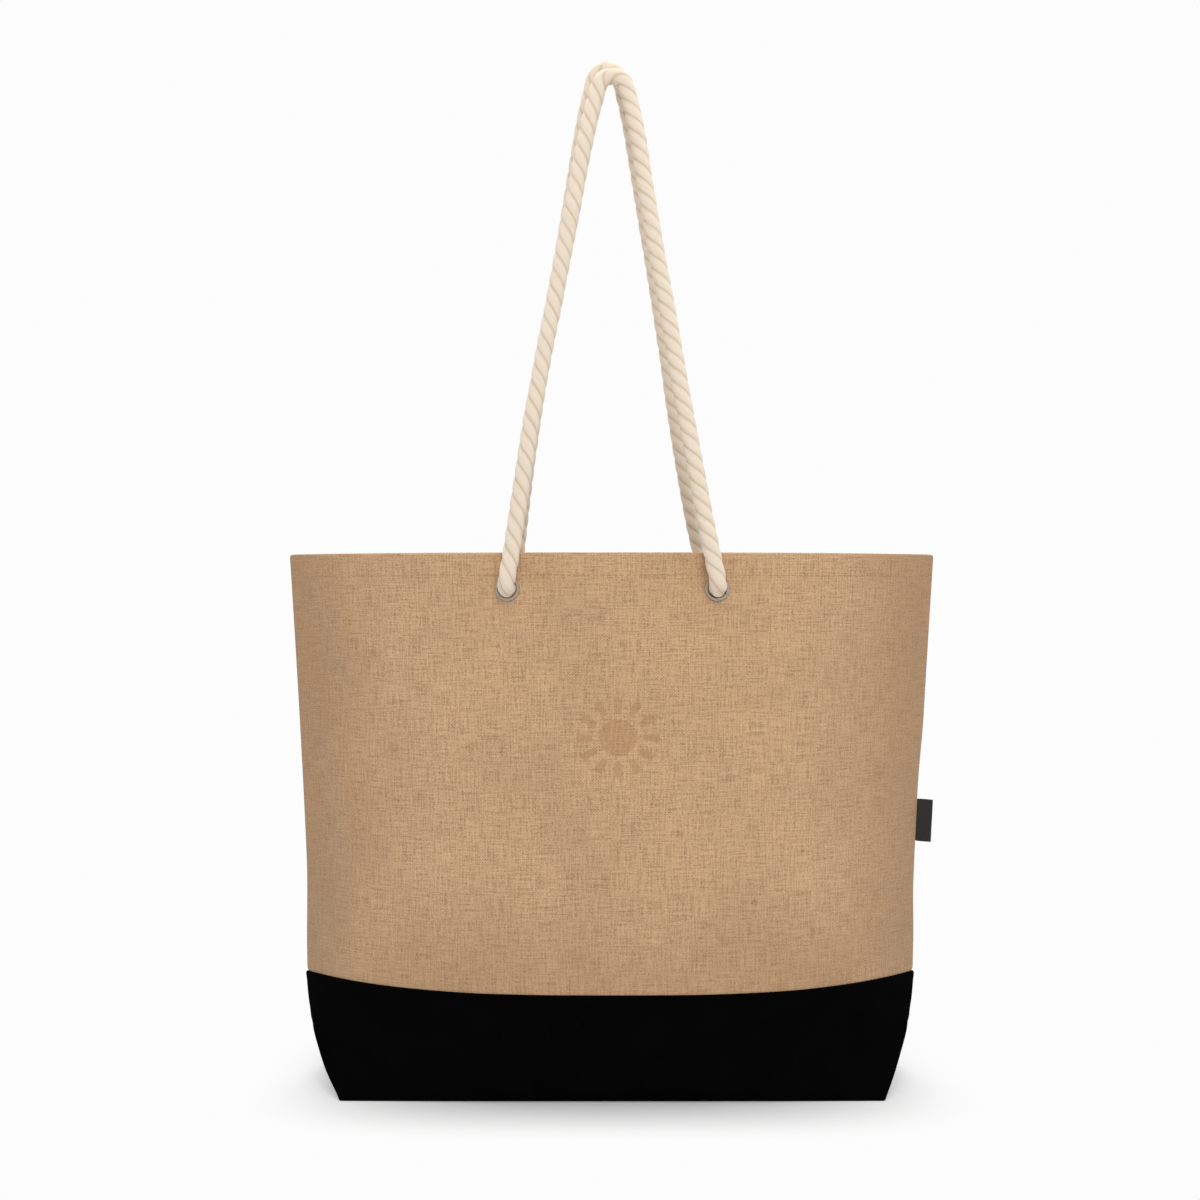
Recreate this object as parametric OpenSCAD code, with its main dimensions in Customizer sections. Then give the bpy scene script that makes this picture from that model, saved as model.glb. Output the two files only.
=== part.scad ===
// Beach bag: a woven shell on a dark boxed base, with two twisted rope handles.
// Millimetres. The origin is the middle of the base on the ground, +X runs
// across the bag, +Y towards its back and +Z up.

/* [Body] */
// Width of the mouth, from side seam to side seam
mouth_w = 500; // [420:5:600]
// Depth of the open mouth, front to back
mouth_d = 124; // [100:2:160]
// Width of the body where the shell is sewn to the base
waist_w = 468; // [400:4:560]
// Depth of the body there
waist_d = 168; // [140:2:210]
// Height from the ground to the rim
bag_h = 402; // [330:2:490]
// Length of the flat base
base_l = 400; // [330:2:440]
// Depth of the flat base
base_d = 148; // [100:2:160]
// Height of the dark base band
band_h = 80; // [60:2:110]
// How boxy the plan outline is: 2 is a plain arch, more is flatter with sharper ends
fullness = 2.9; // [2:0.1:4]
// How late the sides flare towards the mouth
flare = 1.3; // [1:0.1:2]
// Height at which the folded gusset at each end of the base closes into the side seam
gusset_h = 48; // [40:1:56]
// Width of the body at that height
gusset_w = 462; // [395:4:550]
// How far the two folds of a gusset bow out of a straight line
bow = 3; // [0:0.5:8]

/* [Cloth and board] */
// Thickness of the woven shell with its backing
panel_t = 1.4; // [0.8:0.1:2]
// Thickness of the base cloth
base_t = 1.6; // [0.8:0.1:2.5]
// Thickness of the lining
lining_t = 0.6; // [0.4:0.1:1]
// Thickness of the facing inside the mouth
facing_t = 1.0; // [0.6:0.1:1.6]
// How far the facing reaches below the washers behind the eyelets
facing_below = 3; // [1:1:20]
// Thickness of the stiffening board in the base
board_t = 2; // [1:0.5:4]
// Gap all round the board
board_gap = 1.5; // [0.5:0.5:4]
// How far the board's corners are cut back
board_corner = 12; // [4:1:30]
// Gap between two layers of cloth
layer_gap = 0.3; // [0.1:0.1:0.6]
// Gap between the base lining and the walls of the lining round it
floor_gap = 0.8; // [0.6:0.1:2]

/* [Eyelets] */
// Distance between the two eyelets of one handle
eyelet_spacing = 155; // [120:5:200]
// Depth of the eyelets' middle below the rim
eyelet_drop = 27; // [18:1:45]
// Width of the visible ring round the hole
ring_w = 1.6; // [1.4:0.1:4]
// Thickness of the ring
ring_t = 1.2; // [0.8:0.1:2]
// Wall of the eyelet's barrel
barrel_t = 0.6; // [0.4:0.1:1]
// Clearance between the barrel and the cloth cut for it
barrel_fit = 0.1; // [0.05:0.05:0.3]
// How far the lip rolled over inside reaches past the barrel
lip_w = 1.2; // [0.8:0.1:2]
// Clearance between the rope and the eyelet's hole
rope_fit = 0.4; // [0.2:0.1:1]
// Gap left where a flat ring meets the curved cloth
seat_gap = 0.3; // [0.2:0.05:0.6]
// Thickness of the washer behind each eyelet
washer_t = 0.8; // [0.5:0.1:1.5]
// Width of the washer round the hole cut for the eyelet
washer_w = 2.6; // [2:0.1:4]

/* [Rope handles] */
// Diameter of the rope
rope_d = 13; // [9:0.5:16]
// Free cloth side gap between the rope and the shell at the hinge line
rope_off = 4; // [3:0.5:8]
// Gap between the fixed end of a rope and the part that swings
swing_gap = 2; // [1:0.5:4]
// Gap between the two ropes where they lean together
meet_gap = 2; // [1:0.5:6]
// Diameter of the stopper knot
knot_d = 34; // [26:1:36]
// Length of rope end below the middle of the knot
tail_l = 42; // [25:1:60]
// How much thinner the loose end is, on the radius
tail_slack = 0.5; // [0:0.5:2]

/* [Side label] */
// How far the folded label stands out of the seam
label_w = 9; // [6:1:20]
// Height of the label
label_h = 33; // [20:1:50]
// Height of the label's lower edge above the ground
label_z = 180; // [100:5:280]
// Thickness of the folded label
label_t = 1.2; // [0.8:0.1:2]
// Gap between the label and the seam that holds it
label_gap = 0.1; // [0.05:0.05:0.5]
// How far its outer edge hangs below its sewn edge
label_droop = 1; // [0:0.5:4]

/* [Hidden] */
FRONT = 0;
BACK = 180;
LEFT = -1;
RIGHT = 1;

JUTE = [0.76, 0.62, 0.48];
BLACK = [0.05, 0.05, 0.05];
SAND = [0.86, 0.81, 0.72];
CARD = [0.35, 0.33, 0.30];
NICKEL = [0.80, 0.79, 0.76];
COTTON = [0.90, 0.84, 0.74];

// Each handle's middle line as seen from the front, from its left end over the
// top to its right end: distance across, and distance up the handle's plane.
FRONT_ROUTE = [
    [-74, 28], [-69.5, 60], [-65, 92], [-60.5, 124], [-55, 156], [-49.5, 188],
    [-43.5, 219], [-38, 250], [-32, 282], [-26.5, 314], [-20.5, 347], [-16.5, 366],
    [-13, 380], [-10.5, 390], [-9.5, 393.5], [-7, 397], [-3.5, 399],
    [0.5, 400],
    [4.5, 399], [8, 397], [10.5, 393.5], [11.5, 390], [14, 380], [17, 366],
    [20.5, 347], [25, 314], [30, 282], [35, 250], [40.5, 219], [45.5, 188],
    [50.5, 156], [56, 124], [61.5, 92], [67, 60], [73, 28]
];
BACK_ROUTE = [
    [-77, 28], [-73.5, 60], [-69.5, 92], [-65, 124], [-60, 156], [-54.5, 188],
    [-48.5, 219], [-42.5, 250], [-36.5, 282], [-31, 314], [-25.5, 347], [-20.5, 374],
    [-17, 389], [-14.5, 399], [-13.5, 402.5], [-11, 406.5], [-7.5, 409],
    [-3.5, 410],
    [0.5, 409], [4, 406.5], [6.5, 402.5], [7.5, 399], [10, 389], [13.5, 374],
    [18.5, 347], [24, 314], [29.5, 282], [35, 250], [40, 219], [45, 188],
    [49.5, 156], [54.5, 124], [60, 92], [66, 60], [73, 28]
];
ROPE_SIDES = 12;

// Steps of a sheet from the middle of its front to the fold, from the fold to
// the side seam, up the body, and up the base band to and past its gussets.
CORNER_STEPS = 12;
SIDE_STEPS = 2;
BODY_STEPS = 9;
GUSSET_STEPS = 5;
BAND_STEPS = 2;
FACING_STEPS = 2;

// How much more a layer loses at the pointed side seam than at the middle.
TIP_SHARE = 1.5;
// How much closer the steps lie at the side seams, where the outline turns away.
CROWDING = 0.12;
// How soon the front of the base band swells to the depth of the body.
BAND_RISE = 0.6;
// Share of the way round that lies past a fold once the fold has run out.
FOLD_END = 0.02;
// Half the distance between a route's two ends, carried down to the hinge line.
ROUTE_SPREAD = 78.5;

rope_r = rope_d / 2;
hole_r = rope_r + rope_fit;
cut_r = hole_r + barrel_t + barrel_fit;
inner_d = max(panel_t, base_t) + layer_gap;
stack_d = inner_d + facing_t + seat_gap;
washer_end = stack_d + washer_t;
lip_start = washer_end + barrel_fit;
knot_face = lip_start + barrel_t + layer_gap;
pivot_out = rope_r + rope_off;
floor_z = base_t + board_t + layer_gap;
ring_r = hole_r + barrel_t + ring_w;
washer_r = cut_r + washer_w;
eyelet_z = bag_h - eyelet_drop;
facing_z = eyelet_z - washer_r - facing_below;

function mix(a, b, t) = a + (b - a) * t;
function unit(v) = v / norm(v);

// Share of the rise from the base seam to the rim, and the half sizes there at
// depth d inside the outer face.
function rise(z) = max(0, (z - band_h) / (bag_h - band_h));
function half_w(z, d = 0) = mix(waist_w, mouth_w, pow(rise(z), flare)) / 2 - TIP_SHARE * d;
function half_d(z, d = 0) = mix(waist_d, mouth_d, pow(rise(z), flare)) / 2 - d;
function shell_y(x, z) = -half_d(z) * (1 - pow(abs(x) / half_w(z), fullness));

// Half sizes of the outline at any height: the base band swells out to the body.
function width(z, d) = z >= band_h ? half_w(z, d)
    : mix(gusset_w, waist_w, max(0, z - gusset_h) / (band_h - gusset_h)) / 2 - TIP_SHARE * d;
function depth(z, d) = z >= band_h ? half_d(z, d)
    : mix(base_d, waist_d, pow(max(0, z - base_t) / (band_h - base_t), BAND_RISE)) / 2 - d;

// Point of a pointed outline at share t of the way round the front, from -1 at
// the left side seam to 1 at the right one.
function across(t) = (1 + CROWDING) * t - CROWDING * pow(t, 3);
function lens_point(t, z, d) = [
    sign(t) * width(z, d) * across(abs(t)),
    -depth(z, d) * (1 - pow(across(abs(t)), fullness))
];

// Each end of the base is a flat gusset between two folds, which start at the
// base corners and run up to the side seam at gusset_h.
function gusset_share(z) = min(1, max(0, z - base_t) / (gusset_h - base_t));
function fold_share(z) = mix(base_l / (base_l + base_d), 1 - FOLD_END, gusset_share(z));
function fold_point(z, d) = let (
    share = gusset_share(z),
    end = lens_point(1 - FOLD_END, gusset_h, d)
) mix([base_l / 2 - d, base_d / 2 - d], [end.x, -end.y], share) + [4 * bow * share * (1 - share), 0];
function gusset_point(t, z, d) = let (
    share = gusset_share(z),
    fold = fold_point(z, d),
    run = min(1, abs(t) / fold_share(z)),
    out = mix(run, across(run * (1 - FOLD_END)) / across(1 - FOLD_END), share),
    past = max(0, abs(t) - fold_share(z)) / (1 - fold_share(z)),
    seam = fold.x * mix(1, 1 / across(1 - FOLD_END), share)
) [
    sign(t) * mix(fold.x * out, seam, past),
    -mix(mix(depth(z, d), fold.y, pow(out, fullness)), 0, past)
];

// Half an outline, with its corner where the fold is at that height.
function shares(z) = let (
    fold = fold_share(z),
    quarter = concat(
        [for (i = [1 : CORNER_STEPS]) fold * i / CORNER_STEPS],
        [for (i = [1 : SIDE_STEPS]) mix(fold, 1, i / SIDE_STEPS)]
    )
) concat([for (i = [len(quarter) - 1 : -1 : 0]) -quarter[i]], [0], quarter);
function half_row(z, d) = [
    for (t = shares(z)) z >= gusset_h ? lens_point(t, z, d) : gusset_point(t, z, d)
];

// Heights at which the band's cloth turns. Between two of them every layer is
// straight, so that layers follow each other.
function levels(low, high, steps) = [for (i = [0 : steps]) mix(low, high, i / steps)];
BAND_LEVELS = [
    for (i = [0 : GUSSET_STEPS + BAND_STEPS]) i <= GUSSET_STEPS
        ? mix(base_t, gusset_h, i / GUSSET_STEPS)
        : mix(gusset_h, band_h, (i - GUSSET_STEPS) / BAND_STEPS)
];
function level_below(z) = max([for (i = [0 : len(BAND_LEVELS) - 2]) if (BAND_LEVELS[i] <= z) i]);
function half_outline(z, d) = z >= band_h || z < base_t ? half_row(z, d)
    : let (
        i = level_below(z),
        low = BAND_LEVELS[i],
        high = BAND_LEVELS[i + 1]
    ) mix(half_row(low, d), half_row(high, d), (z - low) / (high - low));
function outline(z, d) = let (half = half_outline(z, d)) concat(
    half, [for (i = [1 : len(half) - 2]) -half[i]]
);
function at_height(points, z) = [for (p = points) [p.x, p.y, z]];
COLUMNS = 2 * (CORNER_STEPS + SIDE_STEPS) + 1;

// A wall between two sheets of points: count points in each of rows rows,
// first the outer face and then the inner one. It is open or closed round.
function cell(a, b, c, e) = [[a, b, c], [a, c, e]];
function wall_faces(count, rows, closed) = let (
    inner = count * rows,
    last = closed ? count - 1 : count - 2,
    next = function(i) (i + 1) % count
) [
    for (j = [0 : rows - 2]) for (i = [0 : last])
        let (low = j * count, high = low + count)
        each concat(
            cell(low + i, high + i, high + next(i), low + next(i)),
            cell(inner + low + i, inner + low + next(i), inner + high + next(i), inner + high + i)
        ),
    for (i = [0 : last]) let (top = (rows - 1) * count) each concat(
        cell(i, next(i), inner + next(i), inner + i),
        cell(top + i, inner + top + i, inner + top + next(i), top + next(i))
    ),
    if (!closed) for (j = [0 : rows - 2])
        let (low = j * count, high = low + count, end = count - 1)
        each concat(
            cell(high, low, inner + low, inner + high),
            cell(low + end, high + end, inner + high + end, inner + low + end)
        )
];

// Half of the body between two heights, as one sheet of cloth.
module half_sheet(heights, depth, thickness) {
    rows = [
        for (d = [depth, depth + thickness]) for (z = heights)
            at_height(half_outline(z, d), z)
    ];
    polyhedron([for (row = rows) each row], wall_faces(COLUMNS, len(heights), false));
}

// The whole way round the body between two heights.
module round_wall(heights, depth, thickness) {
    rows = [
        for (d = [depth, depth + thickness]) for (z = heights)
            at_height(outline(z, d), z)
    ];
    polyhedron([for (row = rows) each row], wall_faces(len(rows[0]), len(heights), true));
}

// Middle of an eyelet on the shell's outer face, and the face's outward normal.
// Both are for the front right one; the others follow by symmetry.
eyelet_x = eyelet_spacing / 2;
eyelet_at = [eyelet_x, shell_y(eyelet_x, eyelet_z), eyelet_z];
eyelet_out = unit([
    shell_y(eyelet_x + 1, eyelet_z) - shell_y(eyelet_x, eyelet_z),
    -1,
    shell_y(eyelet_x, eyelet_z + 1) - shell_y(eyelet_x, eyelet_z)
]);
pivot = eyelet_at + pivot_out * eyelet_out;

// Places a piece drawn along +Z on an eyelet: +Z leaves the bag, 0 is the cloth.
module at_eyelet(face, side) {
    // Turned round to the back, a left eyelet comes from the front's right one.
    mirrored = face == BACK ? -side : side;
    rotate([0, 0, face])
        translate([mirrored * eyelet_at.x, eyelet_at.y, eyelet_at.z])
            rotate([0, acos(eyelet_out.z), atan2(eyelet_out.y, mirrored * eyelet_out.x)])
                children();
}

module eyelet_cuts(face) {
    for (side = [LEFT, RIGHT]) at_eyelet(face, side)
        translate([0, 0, -stack_d - ring_t]) cylinder(h = 2 * (stack_d + ring_t), r = cut_r, $fn = 64);
}

module shell_panel(face) {
    color(JUTE) difference() {
        rotate([0, 0, face]) half_sheet(levels(band_h, bag_h, BODY_STEPS), 0, panel_t);
        eyelet_cuts(face);
    }
}

module facing(face) {
    color(JUTE) difference() {
        rotate([0, 0, face]) half_sheet(levels(facing_z, bag_h, FACING_STEPS), inner_d, facing_t);
        eyelet_cuts(face);
    }
}

// Band and bottom are one piece of cloth, folded up round the base.
module base_fabric() {
    color(BLACK) {
        round_wall(concat([0], BAND_LEVELS), 0, base_t);
        translate([-(base_l - base_t) / 2, -(base_d - base_t) / 2, 0])
            cube([base_l - base_t, base_d - base_t, base_t]);
    }
}

module base_board() {
    corner = board_corner;
    x = base_l / 2 - base_t - board_gap;
    y = base_d / 2 - base_t - board_gap;
    color(CARD) translate([0, 0, base_t]) linear_extrude(board_t) polygon([
        [corner - x, -y], [x - corner, -y], [x, corner - y], [x, y - corner],
        [x - corner, y], [corner - x, y], [-x, y - corner], [-x, corner - y]
    ]);
}

module side_lining(face) {
    heights = concat([floor_z], [for (z = BAND_LEVELS) if (z > floor_z) z], [
        for (z = levels(band_h, facing_z, BODY_STEPS)) if (z > band_h) z
    ]);
    color(SAND) rotate([0, 0, face]) half_sheet(heights, inner_d, lining_t);
}

module base_lining() {
    color(SAND) translate([0, 0, floor_z]) linear_extrude(lining_t)
        polygon(outline(floor_z, inner_d + lining_t + floor_gap));
}

// Ring, barrel and the lip that is rolled over the washer inside.
module eyelet(face, side) {
    round = ring_t / 2;
    top = seat_gap + ring_t;
    color(NICKEL) at_eyelet(face, side) rotate_extrude($fn = 64) {
        polygon(concat(
            [[hole_r, top - round], [hole_r, seat_gap], [ring_r - round, seat_gap]],
            [for (a = [-75 : 15 : 90]) [ring_r - round + round * cos(a), top - round + round * sin(a)]],
            [for (a = [90 : 15 : 165]) [hole_r + round + round * cos(a), top - round + round * sin(a)]]
        ));
        translate([hole_r, -lip_start - barrel_t])
            square([barrel_t, lip_start + barrel_t + top - round]);
        translate([hole_r, -lip_start - barrel_t]) square([barrel_t + barrel_fit + lip_w, barrel_t]);
    }
}

module washer(face, side) {
    color(NICKEL) at_eyelet(face, side) translate([0, 0, -washer_end]) difference() {
        cylinder(h = washer_t, r = washer_r, $fn = 64);
        translate([0, 0, -1]) cylinder(h = washer_t + 2, r = cut_r, $fn = 64);
    }
}

// Fixed end of a rope, from its knot out through the eyelet to the hinge line.
module rope_neck(face, side) {
    color(COTTON) at_eyelet(face, side) {
        translate([0, 0, -knot_face]) cylinder(h = knot_face + pivot_out, r = rope_r, $fn = 48);
        translate([0, 0, pivot_out]) sphere(r = rope_r, $fn = 48);
    }
}

// Stopper knot against the washer, with the end of the rope hanging from it.
module knot(face, side) {
    knot_r = knot_d / 2;
    flat_r = cut_r + lip_w + layer_gap;
    sunk = sqrt(knot_r * knot_r - flat_r * flat_r);
    middle = eyelet_at - (knot_face + sunk) * eyelet_out;
    mirrored = face == BACK ? -side : side;
    color(COTTON) {
        at_eyelet(face, side) translate([0, 0, -knot_face - sunk]) intersection() {
            sphere(r = knot_r, $fn = 64);
            translate([0, 0, sunk - 2 * knot_r]) cylinder(h = 2 * knot_r, r = 2 * knot_r, $fn = 64);
        }
        rotate([0, 0, face]) translate([mirrored * middle.x, middle.y, middle.z - tail_l])
            cylinder(h = tail_l, r = rope_r - tail_slack, $fn = 48);
    }
}

// One ring of a tube about a route in the X-Z plane.
function route_ring(route, i) = let (
    before = route[max(0, i - 1)],
    after = route[min(len(route) - 1, i + 1)],
    along = unit(after - before)
) [
    for (k = [0 : ROPE_SIDES - 1]) let (a = 360 * k / ROPE_SIDES) [
        route[i].x - rope_r * cos(a) * along.y,
        rope_r * sin(a),
        route[i].y + rope_r * cos(a) * along.x
    ]
];
function tube_faces(sides, rings) = concat(
    [[for (k = [0 : sides - 1]) k]],
    [
        for (i = [0 : rings - 2]) for (k = [0 : sides - 1])
            let (low = i * sides, high = low + sides, next = (k + 1) % sides)
            each cell(low + k, high + k, high + next, low + next)
    ],
    [[for (k = [sides - 1 : -1 : 0]) (rings - 1) * sides + k]]
);
// The route drawn to the eyelets' spacing, with its ends short of the hinge.
function fitted_route(route) = let (
    fitted = [for (p = route) [p.x * pivot.x / ROUTE_SPREAD, p.y]],
    left = [-pivot.x, 0],
    right = [pivot.x, 0],
    short = rope_r + swing_gap
) concat(
    [left + short * unit(fitted[0] - left)],
    fitted,
    [right + short * unit(fitted[len(fitted) - 1] - right)]
);
function route_top(route) = max([for (p = route) p.y]);
// A route as it is once it has been turned round to the back.
function turned_route(route) = [for (i = [len(route) - 1 : -1 : 0]) [-route[i].x, route[i].y]];

// A handle leans in from its hinge line until it meets the other one.
module rope(face, route) {
    line = fitted_route(face == BACK ? turned_route(route) : route);
    lean = asin((-pivot.y - rope_r - meet_gap / 2) / route_top(route));
    color(COTTON) rotate([0, 0, face]) translate([0, pivot.y, pivot.z]) rotate([-lean, 0, 0])
        polyhedron(
            [for (i = [0 : len(line) - 1]) each route_ring(line, i)],
            tube_faces(ROPE_SIDES, len(line))
        );
}

module side_label() {
    low = label_z;
    high = label_z + label_h;
    color(BLACK) translate([0, label_t / 2, 0]) rotate([90, 0, 0]) linear_extrude(label_t) polygon([
        [half_w(low) + label_gap, low], [half_w(low) + label_w, low - label_droop],
        [half_w(high) + label_w, high - label_droop], [half_w(high) + label_gap, high]
    ]);
}

shell_panel(FRONT);  // front_panel
shell_panel(BACK);  // back_panel
base_fabric();
base_board();
facing(FRONT);  // front_facing
facing(BACK);  // back_facing
side_lining(FRONT);  // front_lining
side_lining(BACK);  // back_lining
base_lining();
eyelet(FRONT, LEFT);  // front_left_eyelet
eyelet(FRONT, RIGHT);  // front_right_eyelet
eyelet(BACK, LEFT);  // back_left_eyelet
eyelet(BACK, RIGHT);  // back_right_eyelet
washer(FRONT, LEFT);  // front_left_washer
washer(FRONT, RIGHT);  // front_right_washer
washer(BACK, LEFT);  // back_left_washer
washer(BACK, RIGHT);  // back_right_washer
rope(FRONT, FRONT_ROUTE);  // front_rope
rope(BACK, BACK_ROUTE);  // back_rope
rope_neck(FRONT, LEFT);  // front_left_rope_neck
rope_neck(FRONT, RIGHT);  // front_right_rope_neck
rope_neck(BACK, LEFT);  // back_left_rope_neck
rope_neck(BACK, RIGHT);  // back_right_rope_neck
knot(FRONT, LEFT);  // front_left_knot
knot(FRONT, RIGHT);  // front_right_knot
knot(BACK, LEFT);  // back_left_knot
knot(BACK, RIGHT);  // back_right_knot
side_label();
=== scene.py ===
"""A beach bag: a woven jute shell on a dark boxed base, with two twisted rope handles.

Everything is in metres, in the bag's own frame: +X runs across the bag, +Y
towards its back and +Z up, with the origin under the middle of the base.
"""

import logging
import math
import random
from collections.abc import Callable, Sequence
from dataclasses import dataclass, field
from enum import Enum

import bmesh
import bpy
from bmesh.types import BMesh
from bpy.types import Material, Node, NodeSocket, NodeTree, Object
from mathutils import Matrix, Vector, noise


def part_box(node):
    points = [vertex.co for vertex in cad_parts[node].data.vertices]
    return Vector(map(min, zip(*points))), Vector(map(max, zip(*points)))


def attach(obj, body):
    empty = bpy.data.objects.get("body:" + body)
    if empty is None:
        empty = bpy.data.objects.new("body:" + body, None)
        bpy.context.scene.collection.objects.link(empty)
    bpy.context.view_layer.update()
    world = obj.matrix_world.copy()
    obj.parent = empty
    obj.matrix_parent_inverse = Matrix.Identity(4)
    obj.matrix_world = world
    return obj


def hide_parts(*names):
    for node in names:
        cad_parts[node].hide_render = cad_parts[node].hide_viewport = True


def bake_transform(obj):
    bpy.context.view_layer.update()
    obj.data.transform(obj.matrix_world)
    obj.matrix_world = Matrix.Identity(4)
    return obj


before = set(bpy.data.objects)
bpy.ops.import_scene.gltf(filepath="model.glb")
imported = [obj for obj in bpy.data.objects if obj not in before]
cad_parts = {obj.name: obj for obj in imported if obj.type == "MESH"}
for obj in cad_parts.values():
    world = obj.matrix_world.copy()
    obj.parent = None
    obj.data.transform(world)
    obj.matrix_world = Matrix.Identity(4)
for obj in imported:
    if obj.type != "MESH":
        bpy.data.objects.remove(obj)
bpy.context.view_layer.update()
MM = 0.001
LOG = logging.getLogger("beach_bag")
# A point in the bag's frame, and its place on the flat cloth.
Spot = tuple[Vector, tuple[float, float]]


class Half(Enum):
    """One half of the bag, by the sign of a coordinate there."""

    @property
    def word(self) -> str:
        """The half's name as the pieces use it."""
        return self.name.lower()


class Face(Half):
    """The two broad faces of the bag, by the sign of their Y."""

    FRONT = -1
    BACK = 1


class Side(Half):
    """The two ends of the bag, by the sign of their X."""

    LEFT = -1
    RIGHT = 1


# ---------------------------------------------------------------- small tools


def mix(a, b, share: float):
    """What lies at a share of the way from a to b."""
    return a + (b - a) * share


def smooth(share: float) -> float:
    """A share eased in and out, held between 0 and 1."""
    held = min(1.0, max(0.0, share))
    return held * held * (3 - 2 * held)


def hump(at: float, stops: Sequence[float]) -> float:
    """Eases up to 1 between the first two stops, and back to 0 between the last two."""
    rise, full, fall, gone = stops
    return smooth((at - rise) / (full - rise)) * (1 - smooth((at - fall) / (gone - fall)))


def linear(colour: str) -> tuple[float, float, float, float]:
    """Turns an sRGB hex colour into linear red, green, blue and alpha.

    Args:
        colour: Six hex digits after a hash.

    Returns:
        The four channels that a shader socket takes.
    """
    channels = [int(colour[i:i + 2], 16) / 255 for i in (1, 3, 5)]
    return (*[c / 12.92 if c <= 0.04045 else ((c + 0.055) / 1.055) ** 2.4 for c in channels], 1.0)


def feed(node: Node, inputs: dict) -> None:
    """Gives each named input of a node its value, or links it to a socket."""
    for key, value in inputs.items():
        if isinstance(value, NodeSocket):
            node.id_data.links.new(value, node.inputs[key])
        else:
            node.inputs[key].default_value = value


def add(
    tree: NodeTree, kind: str, inputs: dict | None = None, output: int | str = 0, **settings
) -> NodeSocket:
    """Adds one node with its settings and links.

    Args:
        tree: The node tree it goes into.
        kind: The node's type, after "ShaderNode".
        inputs: What each input holds: a value, or the socket linked to it.
        output: The output that is wanted.
        settings: The node's own properties.

    Returns:
        That output.
    """
    node = tree.nodes.new("ShaderNode" + kind)
    for name, value in settings.items():
        setattr(node, name, value)
    feed(node, inputs or {})
    return node.outputs[output]


def grid_sheet(columns: int, rows: int, place: Callable[[float, float], Spot]) -> BMesh:
    """Turns a grid into a curved surface that remembers where it lay flat.

    Args:
        columns: Cells across.
        rows: Cells up.
        place: Gives the spot for a share across and a share up.

    Returns:
        The surface, with its flat places in the UV map "cloth".
    """
    sheet = bmesh.new()
    cloth = sheet.loops.layers.uv.new("cloth")
    bmesh.ops.create_grid(sheet, x_segments=columns, y_segments=rows, size=0.5)
    flat = []
    sheet.verts.index_update()
    for vert in sheet.verts:
        vert.co, at = place(vert.co.x + 0.5, vert.co.y + 0.5)
        flat.append(at)
    for corner in (loop for face in sheet.faces for loop in face.loops):
        corner[cloth].uv = flat[corner.vert.index]
    return sheet


def weld(shape: BMesh, distance: float, fill: bool = False) -> None:
    """Merges the points of a shape that lie on each other, and turns its faces outwards.

    Args:
        shape: The shape.
        distance: How near two points are to be merged.
        fill: Whether its open ends are closed too.
    """
    bmesh.ops.remove_doubles(shape, verts=shape.verts, dist=distance)
    if fill:
        edges = [edge for edge in shape.edges if edge.is_boundary]
        bmesh.ops.holes_fill(shape, edges=edges, sides=0)
    bmesh.ops.recalc_face_normals(shape, faces=shape.faces)


def link(name: str, data: bpy.types.ID) -> Object:
    """Makes an object and puts it in the scene."""
    made = bpy.data.objects.new(name, data)
    bpy.context.scene.collection.objects.link(made)
    return made


def piece(name: str, shape: BMesh, material: Material, body: str | None = "bag") -> Object:
    """Makes an object of a finished shape.

    Args:
        name: The piece's name.
        shape: Its mesh, which is used up.
        material: Its finish.
        body: The body it rides on, or None for a piece that rides on no body.

    Returns:
        The new object, at the origin.
    """
    mesh = bpy.data.meshes.new(name)
    shape.to_mesh(mesh)
    shape.free()
    mesh.shade_smooth()
    mesh.materials.append(material)
    made = link(name, mesh)
    if body:
        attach(made, body)
    LOG.info("%s: %d faces", name, len(mesh.polygons))
    return made


def cloth_piece(
    name: str, sheet: BMesh, material: Material, slot: str, thickness: float, node: str, **facts
) -> Object:
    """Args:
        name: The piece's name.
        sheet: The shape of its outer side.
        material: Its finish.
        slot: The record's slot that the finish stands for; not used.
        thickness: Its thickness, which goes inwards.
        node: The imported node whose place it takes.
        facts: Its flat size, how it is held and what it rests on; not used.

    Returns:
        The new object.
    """
    made = piece(name, sheet, material)
    wall = made.modifiers.new("thickness", "SOLIDIFY")
    wall.thickness = thickness
    wall.offset = -1.0
    fine = made.modifiers.new("roundness", "SUBSURF")
    fine.levels = fine.render_levels = 1
    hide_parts(node)
    return made


# --------------------------------------------------------------- the bag's form


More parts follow.
